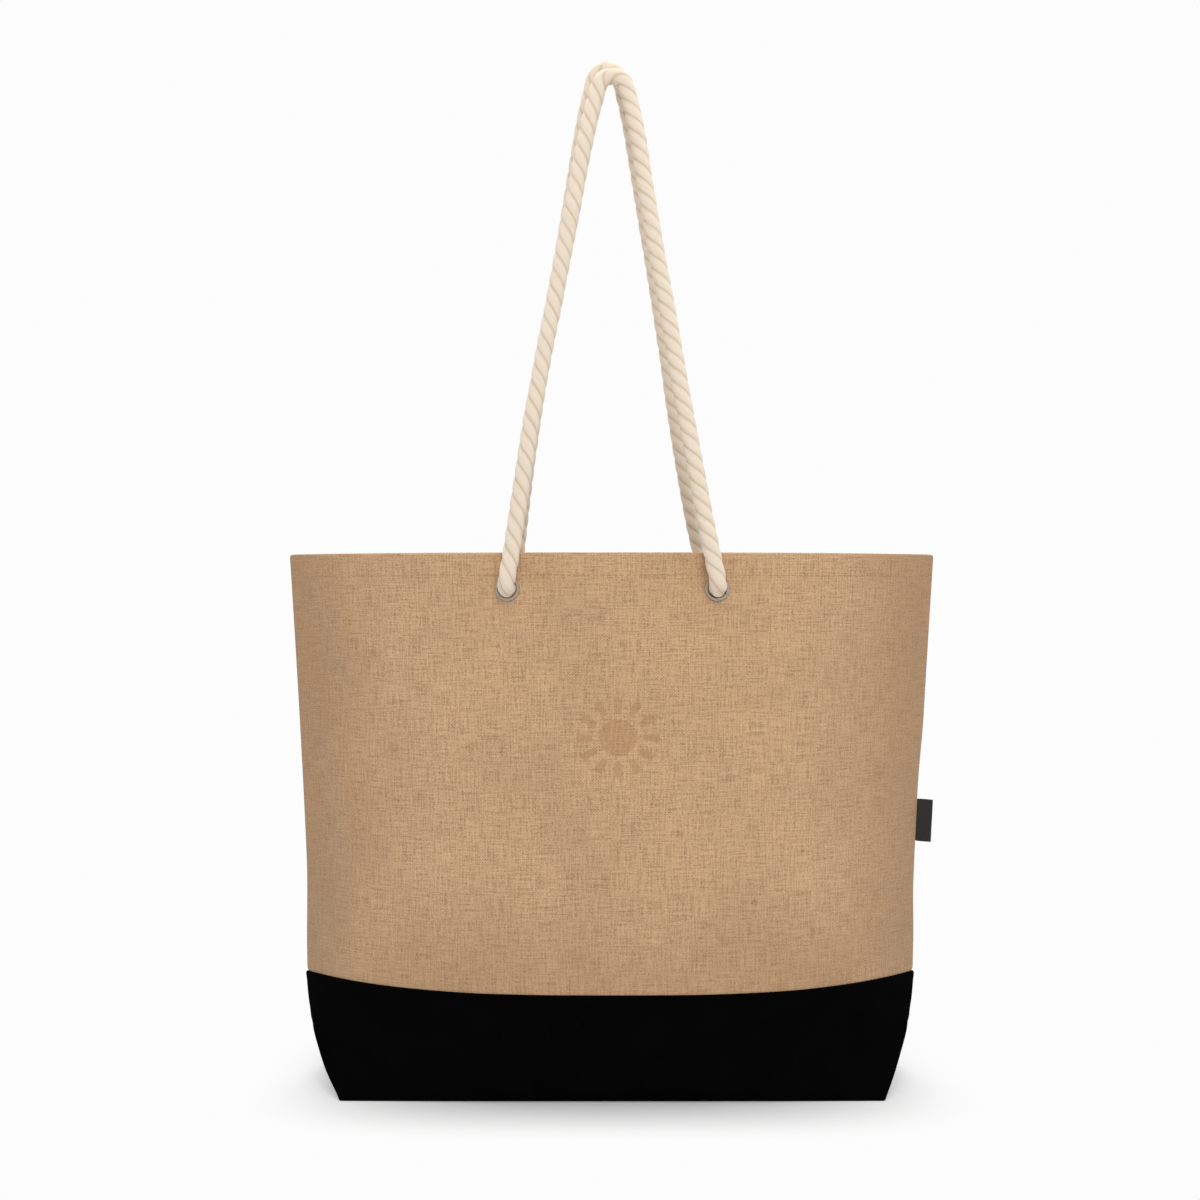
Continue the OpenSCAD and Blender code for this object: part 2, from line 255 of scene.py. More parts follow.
@dataclass(frozen=True)
class Form:
    """The bag's form: a pointed outline that changes with height.

    A place on it is a share t of the way round one face, from -1 at the left
    side seam to 1 at the right one, a height z, and a depth d inside the face.
    """

    mouth_w: float
    bag_h: float
    band_h: float
    waist_d: float
    mouth_d: float = 124 * MM
    waist_w: float = 468 * MM
    cloth_w: float = 525 * MM
    base_l: float = 400 * MM
    base_d: float = 148 * MM
    fullness: float = 2.9
    flare: float = 1.3
    gusset_h: float = 48 * MM
    gusset_w: float = 462 * MM
    bow: float = 3 * MM
    swell: float = 2.2 * MM
    base_t: float = 1.6 * MM
    band_rise: float = 0.6
    fold_end: float = 0.02
    tip_share: float = 1.5
    crowding: float = 0.12
    eyelet_spacing: float = 155 * MM
    eyelet_drop: float = 27 * MM

    @classmethod
    def from_frame(cls) -> "Form":
        """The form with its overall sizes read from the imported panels."""
        low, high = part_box("front_panel")
        return cls(mouth_w=high[0] - low[0], bag_h=high[2], band_h=low[2], waist_d=-2 * low[1])

    @property
    def corner_t(self) -> float:
        """Share of the way round at which a corner of the base lies."""
        return self.base_l / (self.base_l + self.base_d)

    def rise(self, z: float) -> float:
        """Share of the rise from the base seam to the rim."""
        return max(0.0, (z - self.band_h) / (self.bag_h - self.band_h)) ** self.flare

    def half_w(self, z: float, d: float = 0.0) -> float:
        """Half the outline's width."""
        if z >= self.band_h:
            full = mix(self.waist_w, self.mouth_w, self.rise(z))
        else:
            up = max(0.0, z - self.gusset_h) / (self.band_h - self.gusset_h)
            full = mix(self.gusset_w, self.waist_w, up * (2 - up))
        return full / 2 - self.tip_share * d

    def half_d(self, z: float, d: float = 0.0) -> float:
        """Half the outline's depth."""
        if z >= self.band_h:
            full = mix(self.waist_d, self.mouth_d, self.rise(z))
        else:
            up = max(0.0, z - self.base_t) / (self.band_h - self.base_t)
            full = mix(self.base_d, self.waist_d, up ** self.band_rise)
        return full / 2 - d

    def across(self, t: float) -> float:
        """Share of the half width that share t of the way round comes to."""
        return (1 + self.crowding) * t - self.crowding * t ** 3

    def gusset_share(self, z: float) -> float:
        """How far up the gusset a height is."""
        return min(1.0, max(0.0, z - self.base_t) / (self.gusset_h - self.base_t))

    def fold_share(self, z: float) -> float:
        """Share of the way round at which the gusset's fold lies."""
        return mix(self.corner_t, 1 - self.fold_end, self.gusset_share(z))

    def follow_fold(self, t: float, z: float) -> float:
        """Share t of the way round the base, moved as the gusset's fold moves on its way up."""
        run, foot, here = abs(t), self.corner_t, self.fold_share(z)
        moved = here * run / foot if run <= foot else mix(here, 1, (run - foot) / (1 - foot))
        return math.copysign(min(1.0, moved), t)

    def plan(self, t: float, z: float, d: float = 0.0) -> tuple[float, float]:
        """The outline itself.

        Args:
            t: Share of the way round, from -1 to 1.
            z: Height.
            d: Depth inside the outer face.

        Returns:
            Distance across, and distance from the middle towards the face.
        """
        way, run = math.copysign(1.0, t), abs(t)
        width, depth = self.half_w(z, d), self.half_d(z, d)
        if z >= self.gusset_h:
            out = self.across(run)
            return way * width * out, depth * (1 - out ** self.fullness)
        share, fold = self.gusset_share(z), self.fold_share(z)
        end = self.across(1 - self.fold_end)
        fold_x = mix(self.base_l / 2 - d, self.half_w(self.gusset_h, d) * end, share)
        fold_x += 4 * self.bow * share * (1 - share)
        # The fold swells out just under its top, where it runs into the side seam.
        fold_x += self.swell * (7 * share / 6) ** 6 * 7 * (1 - share)
        fold_y = mix(
            self.base_d / 2 - d, self.half_d(self.gusset_h, d) * (1 - end ** self.fullness), share
        )
        if run <= fold:
            out = mix(run / fold, self.across(run / fold * (1 - self.fold_end)) / end, share)
            return way * fold_x * out, mix(depth, fold_y, out ** self.fullness)
        past = (run - fold) / (1 - fold)
        return way * mix(fold_x, fold_x * mix(1, 1 / end, share), past), mix(fold_y, 0, past)

    def point(self, face: Face, t: float, z: float, d: float = 0.0) -> Vector:
        """A point of the undraped form."""
        x, out = self.plan(t, z, d)
        return Vector((x, face.value * out, z))

    def face_y(self, x: float, z: float) -> float:
        """Distance of the face from the middle at a distance across."""
        return self.half_d(z) * (1 - min(1.0, abs(x) / self.half_w(z)) ** self.fullness)


@dataclass(frozen=True)
class Dent:
    """A soft hollow or ridge that the cloth has taken on.

    Args:
        x, z: Its middle.
        length, width: Its reach along and across its run.
        turn: Angle of its run above the level, in degrees.
        depth: How far it pushes the cloth inwards at its middle.
    """

    x: float
    z: float
    length: float
    width: float
    turn: float
    depth: float

    def push(self, x: float, z: float) -> float:
        """How far it pushes the cloth in at a place."""
        angle = math.radians(self.turn)
        dx, dz = x - self.x, z - self.z
        along = (dx * math.cos(angle) + dz * math.sin(angle)) / self.length
        over = (dz * math.cos(angle) - dx * math.sin(angle)) / self.width
        return self.depth * math.exp(-along * along - over * over)


@dataclass(frozen=True)
class Drape:
    """How the cloth lies away from its plain form: dents, drags and a slow ripple."""

    form: Form
    ripple: float = 0.9 * MM
    ripple_size: float = 90 * MM
    seam_reach: float = 26 * MM
    rim_past: float = 4 * MM
    rim_share: float = 0.15
    sway_left: float = 2.4 * MM
    left_z: tuple = (0, 20 * MM, 90 * MM, 170 * MM)
    sway_right: float = 1.6 * MM
    right_z: tuple = (100 * MM, 150 * MM, 220 * MM, 280 * MM)
    sway_from: float = 0.3
    sway_full: float = 0.9
    foot_bulge: float = 4 * MM
    foot_z: tuple = (0, 5 * MM, 0, 34 * MM)
    belly_l: float = 2.1

    def dents(self, face: Face) -> list[Dent]:
        """The hollows of one face, worked out from its sizes."""
        half, top, low = self.form.mouth_w / 2, self.form.bag_h, self.form.band_h
        mid = (top + low) / 2
        left = [
            Dent(-0.86 * half, top - 95 * MM, 60 * MM, 12 * MM, -68, 5.0 * MM),
            Dent(-0.76 * half, top - 75 * MM, 60 * MM, 13 * MM, -66, -2.6 * MM),
            Dent(-0.89 * half, mid - 25 * MM, 70 * MM, 12 * MM, -80, 4.0 * MM),
            Dent(-0.62 * half, mid + 5 * MM, 80 * MM, 24 * MM, -60, 1.8 * MM),
        ]
        right = [
            Dent(0.84 * half, top - 70 * MM, 62 * MM, 15 * MM, 62, 2.2 * MM),
            Dent(0.78 * half, mid - 10 * MM, 72 * MM, 18 * MM, 70, 1.8 * MM),
            Dent(0.66 * half, mid + 50 * MM, 60 * MM, 22 * MM, 58, 1.0 * MM),
        ]
        if face is Face.BACK:
            return [Dent(-d.x, d.z - 14 * MM, d.length, d.width, -d.turn, d.depth) for d in left + right]
        return left + right

    def push(self, face: Face, t: float, z: float) -> float:
        """How far the cloth lies inside its plain form at a place."""
        form = self.form
        x, _ = form.plan(t, z)
        held = smooth((1 - abs(t)) * form.cloth_w / 2 / self.seam_reach)
        held *= mix(self.rim_share, 1, smooth((form.bag_h + self.rim_past - z) / (2 * self.seam_reach)))
        held *= smooth(z / (1.5 * self.seam_reach))
        hollow = sum(dent.push(x, z) for dent in self.dents(face))
        place = Vector((x, z, face.value * 0.7)) / self.ripple_size
        slow = self.ripple * noise.noise(place) + self.ripple / 2 * noise.noise(2.3 * place)
        # The cloth bellies out over the lower front edge, most in its middle.
        belly = self.foot_bulge * hump(z, self.foot_z) * max(0.0, 1 - (self.belly_l * x / form.base_l) ** 4)
        return held * (hollow + slow) - belly

    def sway(self, t: float, z: float) -> float:
        """How far the sides have slumped towards -X at a place."""
        left, right = hump(z, self.left_z), hump(z, self.right_z)
        reach = self.sway_left * left if t < 0 else self.sway_right * right
        return reach * smooth((abs(t) - self.sway_from) / (self.sway_full - self.sway_from))

    def point(self, face: Face, t: float, z: float, d: float = 0.0) -> Vector:
        """A point of the draped form."""
        at = self.form.point(face, t, z, d)
        return at - Vector((self.sway(t, z), face.value * self.push(face, t, z), 0))


@dataclass(frozen=True)
class EyeletPlace:
    """Where one eyelet sits: its middle on the outer face and the way out of it."""

    middle: Vector
    out: Vector

    @classmethod
    def of(cls, form: Form, face: Face, side: Side) -> "EyeletPlace":
        """The place of the eyelet on that face and side."""
        x, z, step = form.eyelet_spacing / 2, form.bag_h - form.eyelet_drop, MM
        here = form.face_y(x, z)
        lean_x = (form.face_y(x + step, z) - here) / step
        lean_z = (form.face_y(x, z + step) - here) / step
        out = Vector((-lean_x * side.value, face.value, -lean_z)).normalized()
        return cls(Vector((x * side.value, face.value * here, z)), out)


# -------------------------------------------------------------------- finishes


@dataclass(frozen=True)
class Finish:
    """A material of one shader, which each kind of finish feeds in its own way."""

    name: str

    def surface(self, tree: NodeTree) -> dict:
        """What the shader's inputs hold, from nodes added to the tree."""
        raise NotImplementedError

    def build(self) -> Material:
        """The material."""
        material = bpy.data.materials.new(self.name)
        material.use_nodes = True
        tree = material.node_tree
        feed(tree.nodes["Principled BSDF"], self.surface(tree))
        return material


def weave(tree: NodeTree, place: NodeSocket, thread: float) -> NodeSocket:
    """The over-and-under of a plain weave.

    Args:
        tree: The material's nodes.
        place: The place on the flat cloth.
        thread: Distance between every second thread.

    Returns:
        The weave's height, between -1 and 1.
    """
    scaled = add(tree, "VectorMath", {0: place, "Scale": 2 * math.pi / thread}, operation="SCALE")
    split = add(tree, "SeparateXYZ", {0: scaled}).node
    waves = [add(tree, "Math", {0: split.outputs[i]}, operation="SINE") for i in (0, 1)]
    return add(tree, "Math", {0: waves[0], 1: waves[1]}, operation="MULTIPLY")


@dataclass(frozen=True)
class WovenJute(Finish):
    """Plain-woven jute on a stiff backing.

    It is matt and warm, with uneven threads both ways that catch the light as
    short pale and dark streaks.
    """

    name: str = "woven_jute"
    colour: str = "#C7A17A"
    pale: str = "#D8B48B"
    dark: str = "#957454"
    mark: str = "#A97D56"
    # The real threads are 1.2 mm apart, which is too fine to show, so they are
    # drawn at nearly twice that.
    thread: float = 2.1 * MM
    slub_l: float = 19 * MM
    slub_w: float = 1.1 * MM
    nub: float = 1.6 * MM
    patch: float = 70 * MM
    # Where painted shade darkens the cloth: towards the side seams, and towards its lower edge.
    side_shade: tuple[float, float] = (145 * MM, 262 * MM)
    low_shade: tuple[float, float] = (75 * MM, 170 * MM)
    sun: tuple[float, float] | None = None
    sun_rays: float = 12.0
    # The edges of the sun's disc, of its rays' inner ends and of their outer ends.
    sun_edges: tuple = ((14.0 * MM, 13.0 * MM), (17.5 * MM, 18.5 * MM), (30.0 * MM, 29.0 * MM))

    def streaks(self, tree: NodeTree, place: NodeSocket, across: float, up: float) -> NodeSocket:
        """Uneven threads that run one way.

        Args:
            tree: The material's nodes.
            place: The place on the flat cloth.
            across: Length of a streak across the cloth.
            up: Its length up the cloth.

        Returns:
            A value about 0.5 that is higher on thick threads.
        """
        scaled = add(tree, "VectorMath", {0: place, 1: (1 / across, 1 / up, 1.0)}, operation="MULTIPLY")
        return add(tree, "TexNoise", {
            "Vector": scaled, "Scale": 1.0, "Detail": 3.0, "Roughness": 0.6}, noise_dimensions="2D")

    def motif(self, tree: NodeTree, place: NodeSocket) -> NodeSocket:
        """A plain round sun with short rays, as a share from 0 to 1."""
        off = add(tree, "VectorMath", {0: place, 1: (*self.sun, 0.0)}, operation="SUBTRACT")
        split = add(tree, "SeparateXYZ", {0: off}).node
        reach = add(tree, "VectorMath", {0: off}, "Value", operation="LENGTH")
        angle = add(tree, "Math", {0: split.outputs[1], 1: split.outputs[0]}, operation="ARCTAN2")
        turns = add(tree, "Math", {0: angle, 1: self.sun_rays}, operation="MULTIPLY")
        rays = add(tree, "Math", {0: turns}, operation="COSINE")
        ray = add(tree, "MapRange", {"Value": rays, "From Min": 0.05, "From Max": 0.35})
        disc, beyond, within = (
            add(tree, "MapRange", {"Value": reach, "From Min": start, "From Max": end})
            for start, end in self.sun_edges)
        ring = add(tree, "Math", {0: within, 1: beyond}, operation="MULTIPLY")
        rayed = add(tree, "Math", {0: ring, 1: ray}, operation="MULTIPLY")
        return add(tree, "Math", {0: rayed, 1: disc}, operation="MAXIMUM")

    def surface(self, tree: NodeTree) -> dict:
        """What the shader's inputs hold."""
        place = add(tree, "UVMap", uv_map="cloth")
        across = self.streaks(tree, place, self.slub_l, self.slub_w)
        upward = self.streaks(tree, place, self.slub_w, self.slub_l)
        both = add(tree, "Math", {0: across, 1: upward}, operation="ADD")
        cross = weave(tree, place, self.thread)
        nubs = add(tree, "TexNoise", {
            "Vector": place, "Scale": 1 / self.nub, "Detail": 1.0}, noise_dimensions="2D")
        uneven = add(tree, "Math", {0: nubs, 1: 0.65, 2: both}, operation="MULTIPLY_ADD")
        woven = add(tree, "Math", {0: cross, 1: 0.17, 2: uneven}, operation="MULTIPLY_ADD")
        tone = add(tree, "ValToRGB", {"Fac": add(tree, "MapRange", {
            "Value": woven, "From Min": 0.85, "From Max": 1.8})})
        ramp = tone.node.color_ramp
        ramp.elements[0].color = linear(self.dark)
        ramp.elements[1].color = linear(self.pale)
        ramp.elements.new(0.52).color = linear(self.colour)
        patches = add(tree, "TexNoise", {
            "Vector": place, "Scale": 1 / self.patch, "Detail": 2.0}, noise_dimensions="2D")
        worn = add(tree, "MapRange", {"Value": patches, "From Min": 0.35, "From Max": 0.7, "To Max": 0.16})
        mottled = add(tree, "Mix", {0: worn, 6: tone, 7: linear(self.dark)}, 2, data_type="RGBA")
        # Painted shade: the cloth is darkened towards its side seams, where it turns away from the light, and
        # towards its lower edge.
        split = add(tree, "SeparateXYZ", {0: place}).node
        out = add(tree, "Math", {0: split.outputs[0]}, operation="ABSOLUTE")
        sides, foot = (
            add(tree, "MapRange", {
                "Value": value, "From Min": start, "From Max": end, "To Max": most,
            }, interpolation_type="SMOOTHSTEP")
            for value, (start, end), most in (
                (out, self.side_shade, 0.6), (split.outputs[1], reversed(self.low_shade), 0.3)))
        painted_shade = add(tree, "Math", {0: sides, 1: foot}, operation="MAXIMUM")
        colour = add(tree, "Mix", {0: painted_shade, 6: mottled, 7: linear(self.dark)}, 2, data_type="RGBA")
        if self.sun:
            print_share = add(tree, "Math", {0: self.motif(tree, place), 1: 0.45}, operation="MULTIPLY")
            colour = add(tree, "Mix", {0: print_share, 6: colour, 7: linear(self.mark)}, 2, data_type="RGBA")
        relief = add(tree, "Math", {0: cross, 1: 0.3, 2: both}, operation="MULTIPLY_ADD")
        return {
            "Base Color": colour,
            "Normal": add(tree, "Bump", {"Height": relief, "Strength": 0.55, "Distance": 0.5 * MM}),
            "Roughness": 0.88, "Specular IOR Level": 0.25, "Sheen Weight": 0.12, "Sheen Roughness": 0.6,
        }


@dataclass(frozen=True)
class PlainWeave(Finish):
    """A close plain weave, such as canvas or lining cotton, with a little lint.

    Its threads barely show. Lint and rubs lie on it as short pale marks.
    """

    colour: str
    pale: str
    thread: float
    roughness: float
    lint: float = 0.0
    bump: float = 0.4
    sheen: float = 0.1
    gloss: float = 0.3
    cloud: float = 25 * MM
    hair: tuple[float, float] = (3 * MM, 24 * MM)
    hair_turn: float = 1.1

    def surface(self, tree: NodeTree) -> dict:
        """What the shader's inputs hold."""
        place = add(tree, "UVMap", uv_map="cloth")
        cloud = add(tree, "TexNoise", {
            "Vector": place, "Scale": 1 / self.cloud, "Detail": 4.0}, noise_dimensions="2D")
        thread = add(tree, "Math", {
            0: weave(tree, place, self.thread), 1: 0.18, 2: cloud}, operation="MULTIPLY_ADD")
        share = add(tree, "MapRange", {"Value": thread, "From Min": 0.25, "From Max": 0.95})
        turned = add(tree, "Mapping", {
            "Vector": place, "Rotation": (0, 0, self.hair_turn),
            "Scale": (*[1 / size for size in self.hair], 1)})
        hairs = add(tree, "TexNoise", {
            "Vector": turned, "Scale": 1.0, "Detail": 1.0, "Distortion": 0.6}, noise_dimensions="2D")
        marks = add(tree, "MapRange", {
            "Value": hairs, "From Min": 0.765, "From Max": 0.80, "To Max": self.lint})
        whole = add(tree, "Math", {0: share, 1: marks}, operation="ADD", use_clamp=True)
        return {
            "Base Color": add(tree, "Mix", {
                0: whole, 6: linear(self.colour), 7: linear(self.pale)}, 2, data_type="RGBA"),
            "Normal": add(tree, "Bump", {
                "Height": thread, "Strength": self.bump, "Distance": 0.3 * MM}),
            "Roughness": self.roughness, "Specular IOR Level": self.gloss, "Sheen Weight": self.sheen,
        }


@dataclass(frozen=True)
class TwistedCotton(Finish):
    """Soft cotton rope: matt, off-white, with fine yarns and warm shade in its grooves."""

    name: str = "twisted_cotton"
    colour: str = "#EADDCA"
    groove: str = "#C0A585"
    yarn: float = 1.5 * MM
    yarn_l: float = 26 * MM

    def surface(self, tree: NodeTree) -> dict:
        """What the shader's inputs hold."""
        along = add(tree, "VectorMath", {
            0: add(tree, "UVMap", uv_map="cloth"), 1: (1 / self.yarn_l, 1 / self.yarn, 1.0),
        }, operation="MULTIPLY")
        yarns = add(tree, "TexNoise", {
            "Vector": along, "Scale": 1.0, "Detail": 3.0, "Roughness": 0.55}, noise_dimensions="2D")
        depth = add(tree, "Attribute", output="Fac", attribute_name="groove")
        shade = add(tree, "MapRange", {
            "Value": yarns, "From Min": 0.3, "From Max": 0.75, "To Min": 0.2, "To Max": 0.0})
        whole = add(tree, "Math", {0: depth, 1: 0.6, 2: shade}, operation="MULTIPLY_ADD", use_clamp=True)
        return {
            "Base Color": add(tree, "Mix", {
                0: whole, 6: linear(self.colour), 7: linear(self.groove)}, 2, data_type="RGBA"),
            "Normal": add(tree, "Bump", {"Height": yarns, "Strength": 0.5, "Distance": 0.6 * MM}),
            "Roughness": 0.9, "Specular IOR Level": 0.2, "Sheen Weight": 0.2,
            "Subsurface Weight": 0.08, "Subsurface Scale": 2 * MM,
        }


@dataclass(frozen=True)
class PlatedNickel(Finish):
    """Nickel-plated brass that has dulled: grey and soft, with a haze of fine scratches."""

    name: str = "plated_nickel"
    colour: str = "#B5AC9F"
    scratch: float = 2.5 * MM

    def surface(self, tree: NodeTree) -> dict:
        """What the shader's inputs hold."""
        place = add(tree, "TexCoord", output="Object")
        haze = add(tree, "TexNoise", {"Vector": place, "Scale": 1 / self.scratch, "Detail": 5.0})
        return {
            "Roughness": add(tree, "MapRange", {
                "Value": haze, "From Min": 0.3, "From Max": 0.7, "To Min": 0.28, "To Max": 0.5}),
            "Normal": add(tree, "Bump", {"Height": haze, "Strength": 0.12, "Distance": 0.1 * MM}),
            "Base Color": linear(self.colour), "Metallic": 1.0,
        }


@dataclass(frozen=True)
class PressedBoard(Finish):
    """Grey pressed board: dull, with flecks of fibre."""

    name: str = "pressed_board"
    colour: str = "#5A554E"
    fleck: str = "#77716A"
    fibre: float = 4 * MM

    def surface(self, tree: NodeTree) -> dict:
        """What the shader's inputs hold."""
        place = add(tree, "TexCoord", output="Object")
        fibres = add(tree, "TexNoise", {"Vector": place, "Scale": 1 / self.fibre, "Detail": 6.0})
        return {
            "Base Color": add(tree, "Mix", {
                0: fibres, 6: linear(self.colour), 7: linear(self.fleck)}, 2, data_type="RGBA"),
            "Roughness": 0.8,
        }


# ------------------------------------------------------------------- the shell


@dataclass
class ClothShell:
    """The woven panels, the boxed base, the facings and the linings."""

    form: Form
    drape: Drape
    panel_t: float = 1.4 * MM
    facing_t: float = 1.0 * MM
    lining_t: float = 0.6 * MM
    layer_gap: float = 0.3 * MM
    board_t: float = 2.0 * MM
    floor_gap: float = 0.8 * MM
    corner_cut: float = 4.5 * MM
    lap: float = 5 * MM
    hem_leg: float = 3 * MM
    facing_low: float = 362 * MM
    hole_r: float = 7.9 * MM
    stitch_l: float = 3.4 * MM
    stitch_step: float = 4.6 * MM
    stitch_drop: float = 17 * MM
    stitch_w: float = 0.75 * MM
    cell: float = 5 * MM
    edge: float = 2.2 * MM
    tuck_h: float = 3 * MM
    tuck_share: float = 0.7
    lip: float = 0.4 * MM
    lip_turn: float = 0.9 * MM
    drawn_in: float = 2.5 * MM
    drawn_h: float = 14 * MM
    slack: float = 1.6 * MM
    slack_size: float = 60 * MM
    jute: Material = field(init=False)
    marked_jute: Material = field(init=False)
    canvas: Material = field(init=False)
    lining: Material = field(init=False)
    thread: Material = field(init=False)

    def __post_init__(self) -> None:
        """Makes the finishes of the shell."""
        self.jute = WovenJute().build()
        self.marked_jute = WovenJute(name="woven_jute_printed", sun=(4 * MM, 266 * MM)).build()
        self.canvas = PlainWeave(
            "black_canvas", "#030303", "#070606", 1.6 * MM, 0.95,
            lint=0.9, bump=0.3, sheen=0.0, gloss=0.02,
        ).build()
        self.lining = PlainWeave("lining_cotton", "#D2C4AB", "#E2D6C0", 1.4 * MM, 0.9).build()
        self.thread = PlainWeave("sewing_thread", "#A9855F", "#C6A37B", 0.6 * MM, 0.7).build()

    @property
    def hem_r(self) -> float:
        """Radius of the fold over the rim."""
        return (2 * self.panel_t + self.layer_gap) / 2

    @property
    def lining_low(self) -> float:
        """Height at which the lining starts, on top of the board."""
        return self.form.base_t + self.board_t + self.layer_gap

    def panel_run(self, way: float) -> tuple[float, float]:
        """The panel's section from the base seam over the rim.

        Args:
            way: Distance along the cloth from its lower edge.

        Returns:
            Height, and depth inside the outer face.
        """
        form, r = self.form, self.hem_r
        low = form.band_h - self.lap
        rise = form.bag_h - r - low
        if way <= rise:
            z = low + way
            tuck = smooth((form.band_h + self.tuck_h / 2 - z) / self.tuck_h)
            return z, form.base_t * self.tuck_share * tuck
        turn = (way - rise) / r
        if turn <= math.pi:
            return form.bag_h - r + r * math.sin(turn), r - r * math.cos(turn)
        return form.bag_h - r - (turn - math.pi) * r, 2 * r

    def panel_stops(self) -> list[float]:
        """Distances along the panel's section at which its rows lie."""
        low = self.form.band_h - self.lap
        rise = self.form.bag_h - self.hem_r - low
        count = round((rise - 2 * self.lap) / self.cell)
        tuck = self.tuck_h / 2
        stops = [0.0, self.lap / 2, self.lap - tuck, self.lap, self.lap + tuck, 2 * self.lap]
        stops += [mix(2 * self.lap, rise, (i + 1) / count) for i in range(count)]
        stops += [rise + math.pi * self.hem_r * (i + 1) / 6 for i in range(6)]
        return stops + [stops[-1] + self.hem_leg]

    def panel(self, face: Face) -> Object:
        """One woven panel, folded over at the rim and cut for its eyelets."""
        form, stops = self.form, self.panel_stops()
        rows = len(stops) - 1

        def place(u: float, v: float) -> Spot:
            t, way = 2 * u - 1, stops[round(v * rows)]
            z, d = self.panel_run(way)
            at = self.drape.point(face, t, min(z, form.bag_h), d)
            return at, (t * form.cloth_w / 2, form.band_h - self.lap + way)

        return cloth_piece(
            f"{face.word}_woven_panel", self.face_sheet(face, rows, place, holes=True),
            self.marked_jute if face is Face.FRONT else self.jute, "woven_shell", self.panel_t,
            f"{face.word}_panel", flat=(form.cloth_w, stops[-1]), held="hung", rests_on=["base_fabric"],
        )

    def face_sheet(
        self, face: Face, rows: int, place: Callable[[float, float], Spot], holes: bool = False
    ) -> BMesh:
        """A sheet along one face of the bag, with its outer side outwards.

        Args:
            face: The face.
            rows: Cells up.
            place: Gives the spot for a share across and a share up.
            holes: Whether it is cut for the eyelets.

        Returns:
            The sheet.
        """
        sheet = grid_sheet(2 * round(self.form.cloth_w / 2 / self.cell), rows, place)
        for side in Side if holes else ():
            self.cut_hole(sheet, face, side)
        if face is Face.BACK:
            bmesh.ops.reverse_faces(sheet, faces=sheet.faces)
        return sheet

    def cut_hole(self, sheet: BMesh, face: Face, side: Side) -> None:
        """Cuts the round hole for one eyelet.

        Args:
            sheet: The panel or facing.
            face: Its face of the bag.
            side: The eyelet's side.
        """
        middle = EyeletPlace.of(self.form, face, side).middle

        def off(co: Vector) -> Vector:
            return Vector((co.x - middle.x, 0, co.z - middle.z))

        level = [f for f in sheet.faces if abs(f.calc_center_median().z - middle.z) < 4 * self.hole_r]
        gone = [f for f in level if off(f.calc_center_median()).length < self.hole_r]
        gone = [f for f in gone if abs(f.normal.y) > 0.5]
        rim = {v for f in gone for v in f.verts}
        bmesh.ops.delete(sheet, geom=gone, context="FACES")
        for vert in (v for v in rim if v.is_valid):
            way = off(vert.co)
            if way.length < 0.2 * self.hole_r:
                continue
            moved = middle + way.normalized() * self.hole_r
            shift = self.form.face_y(moved.x, moved.z) - self.form.face_y(vert.co.x, vert.co.z)
            vert.co = Vector((moved.x, vert.co.y + face.value * shift, moved.z))

    def stitches(self, face: Face) -> Object:
        """The row of stitches that holds the hem, sunk a little into the cloth."""
        form = self.form
        z = form.bag_h - self.stitch_drop
        row = bmesh.new()
        cloth = row.loops.layers.uv.new("cloth")
        count = int(form.cloth_w / self.stitch_step) - 2
        gaps = [EyeletPlace.of(form, face, side).middle.x for side in Side]
        for i in range(count):
            t = mix(-1, 1, (i + 1.5) / (count + 2))
            at = self.drape.point(face, t, z)
            if min(abs(at.x - gap) for gap in gaps) < 1.4 * self.hole_r:
                continue
            ahead = (self.drape.point(face, t + 0.004, z) - at).normalized()
            made = bmesh.ops.create_uvsphere(row, u_segments=6, v_segments=4, radius=0.5)
            turn = ahead.to_track_quat("Z", "Y").to_matrix().to_4x4()
            size = Matrix.Diagonal((self.stitch_w, self.stitch_w, self.stitch_l, 1.0))
            bmesh.ops.transform(row, verts=made["verts"], matrix=Matrix.Translation(at) @ turn @ size)
        for corner in (loop for f in row.faces for loop in f.loops):
            corner[cloth].uv = corner.vert.co.xz
        return piece(f"{face.word}_hem_stitches", row, self.thread)

    def facing(self, face: Face) -> Object:
        """The strip of jute that backs the rim, under the fold of the hem."""
        form, low = self.form, self.facing_low
        depth = self.panel_t + 2 * self.layer_gap
        top = form.bag_h - self.hem_r - self.hem_leg - 0.2 * MM

        def place(u: float, v: float) -> Spot:
            t, z = 2 * u - 1, mix(low, top, v)
            return self.drape.point(face, t, z, depth), (t * form.cloth_w / 2, z)

        return cloth_piece(
            f"{face.word}_rim_facing",
            self.face_sheet(face, round((top - low) / self.cell), place, holes=True),
            self.jute, "woven_shell", self.facing_t, f"{face.word}_facing",
            flat=(form.cloth_w, top - low), held="hung", rests_on=[f"{face.word}_panel"],
        )

    def run_stops(self, half: float) -> list[float]:
        """Shares of a run, spaced by the cell, with one close to each end.

        Args:
            half: Half the run's length.

        Returns:
            Shares from -1 to 1.
        """
        count = 2 * round((half - self.edge) / self.cell)
        inner = 1 - self.edge / half
        return [-1.0] + [mix(-inner, inner, i / count) for i in range(count + 1)] + [1.0]

    def ring_stops(self) -> list[tuple[Face, float]]:
        """Places round the base, starting at its front left corner."""
        form, fold = self.form, self.form.corner_t
        along = [s * fold for s in self.run_stops(form.base_l / 2)]
        ends = [mix(fold, 2 - fold, (s + 1) / 2) for s in self.run_stops(form.base_d / 2)[1:-1]]
        near, far = [t for t in ends if t <= 1], [2 - t for t in ends if t > 1]
        right = [(Face.FRONT, t) for t in [*along, *near]] + [(Face.BACK, t) for t in far]
        left = [(Face.BACK, -t) for t in [*along, *near]] + [(Face.FRONT, -t) for t in far]
        return right + left

